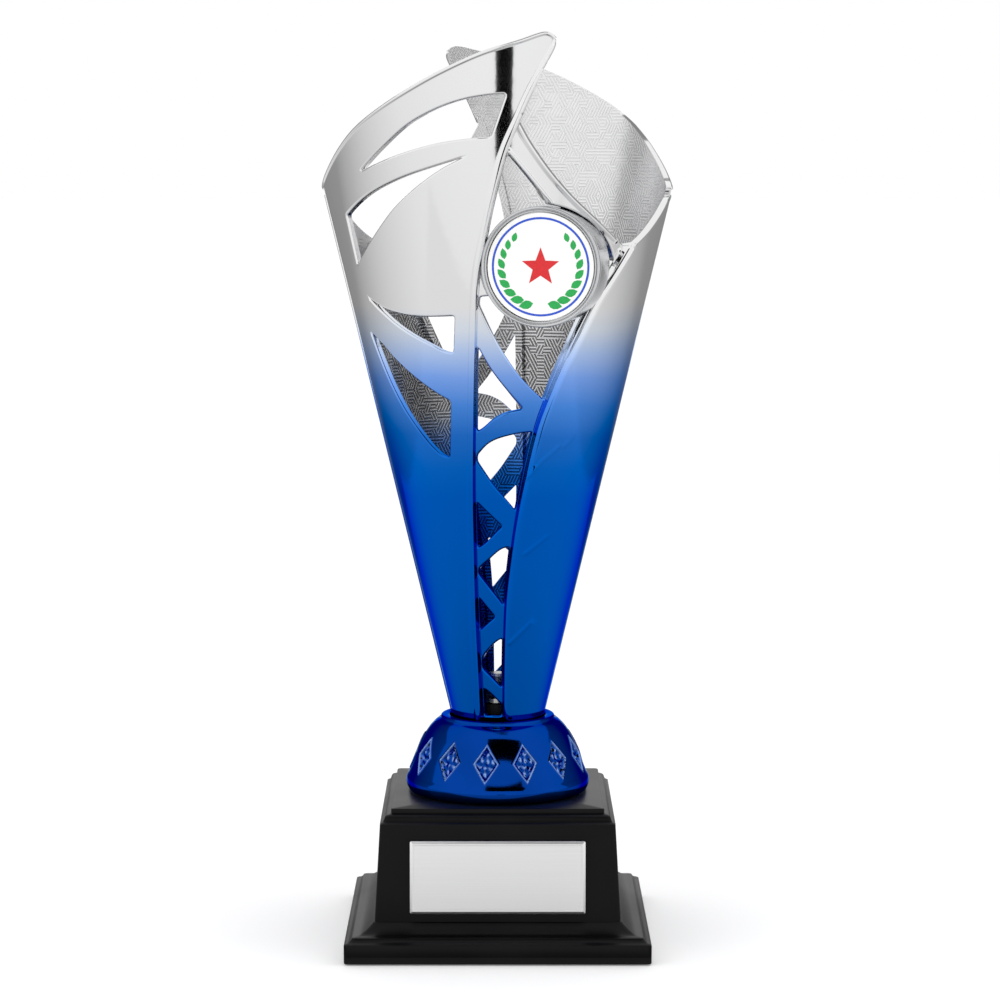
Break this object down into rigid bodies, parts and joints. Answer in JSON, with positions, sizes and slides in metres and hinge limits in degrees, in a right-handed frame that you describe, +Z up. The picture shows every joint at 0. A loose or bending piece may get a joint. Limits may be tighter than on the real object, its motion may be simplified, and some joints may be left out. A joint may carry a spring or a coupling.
{
  "type": "column trophy",
  "caption": "Presentation trophy: an open-work conical column of two moulded shells with a round medal holder, on a bell collar and a square plinth with a name plate.",
  "frame": {"origin": "on the floor, under the middle of the square plinth", "axes": "+Z up along the column; the name plate and the medal face -Y; +X to the right seen from the front"},
  "size_m": [0.0854, 0.1013, 0.2194],
  "materials": {
    "black_eva": "matt closed-cell foam",
    "steel_plate": "mill finish",
    "black_abs": "satin black moulded",
    "satin_aluminium": "satin with a bright bevelled edge",
    "tape": "foam tape",
    "blue_metallised": "vacuum-metallised and tinted blue",
    "black_nylon": "moulded",
    "zinc_steel": "zinc plated",
    "silver_to_blue_metallised": "vacuum-metallised, silver above fading to tinted blue below",
    "silver_metallised": "vacuum-metallised",
    "printed_card": "printed film on a plastic disc"
  },
  "bodies": {
    "root": {"base_pad": "black_eva", "ballast_plate": "steel_plate", "plinth_shell": "black_abs", "name_plate": "satin_aluminium", "plate_adhesive": "tape", "foot_collar": "blue_metallised", "column_plug": "black_nylon", "tie_bolt": "zinc_steel", "lower_washer": "zinc_steel", "upper_washer": "zinc_steel", "hex_nut": "zinc_steel", "front_shell": "silver_to_blue_metallised", "back_shell": "silver_to_blue_metallised", "medal_bezel": "silver_metallised", "medal_adhesive": "tape", "medal_disc": "printed_card"}
  },
  "joints": []
}
